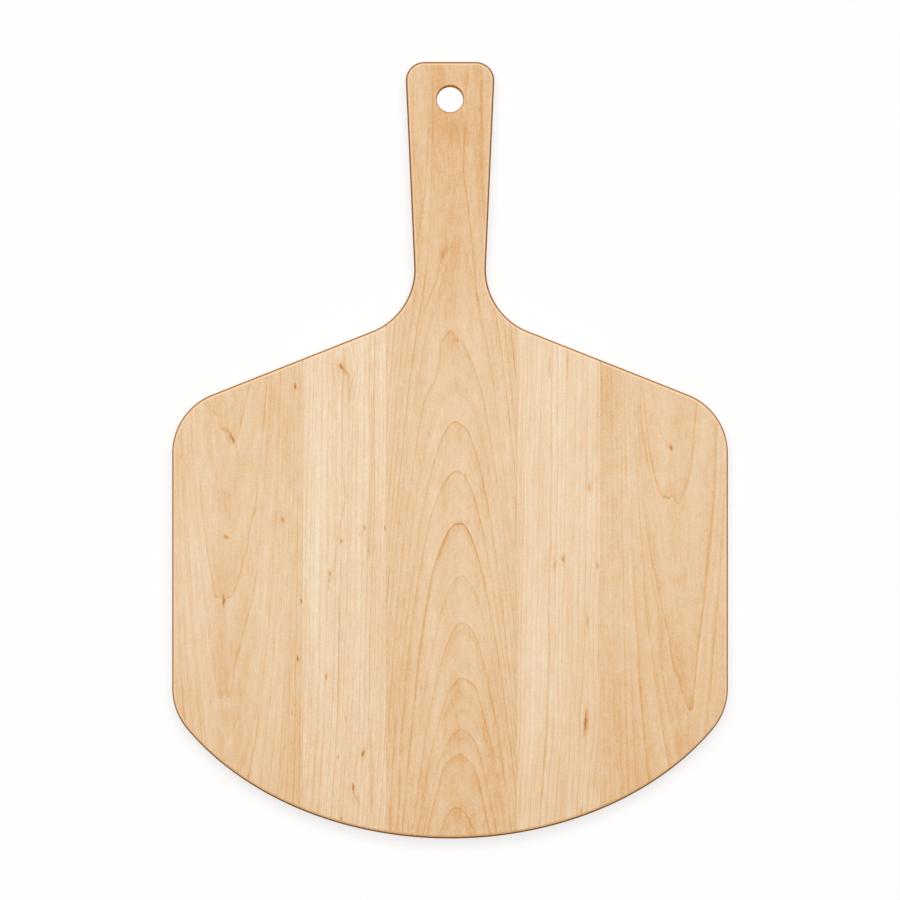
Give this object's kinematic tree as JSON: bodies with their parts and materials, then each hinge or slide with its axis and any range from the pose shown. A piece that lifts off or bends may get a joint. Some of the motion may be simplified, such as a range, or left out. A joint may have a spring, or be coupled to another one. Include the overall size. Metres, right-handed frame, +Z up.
{
  "type": "paddle cutting board",
  "caption": "Wooden paddle cutting board: edge-glued pale hardwood panel with a tapered handle, hang hole, sloped shoulders and curved front edge.",
  "frame": {"origin": "under the middle of the board's overall box, on the underside", "axes": "+Y along the board towards the handle end, +X to the right seen from above with the handle away, +Z up out of the work face"},
  "size_m": [0.3, 0.4192, 0.015],
  "materials": {
    "centre_stave_wood": "sanded, thinly oiled, satin, plain-sawn arches",
    "inner_stave_wood": "sanded, thinly oiled, satin, straight grain",
    "outer_stave_wood": "sanded, thinly oiled, satin, plain-sawn",
    "glue": "cured wood glue, sanded flush"
  },
  "bodies": {
    "root": {"centre_stave": "centre_stave_wood", "inner_stave_left": "inner_stave_wood", "inner_stave_right": "inner_stave_wood", "outer_stave_left": "outer_stave_wood", "outer_stave_right": "outer_stave_wood", "glue_line_inner_left": "glue", "glue_line_inner_right": "glue", "glue_line_outer_left": "glue", "glue_line_outer_right": "glue"}
  },
  "joints": []
}
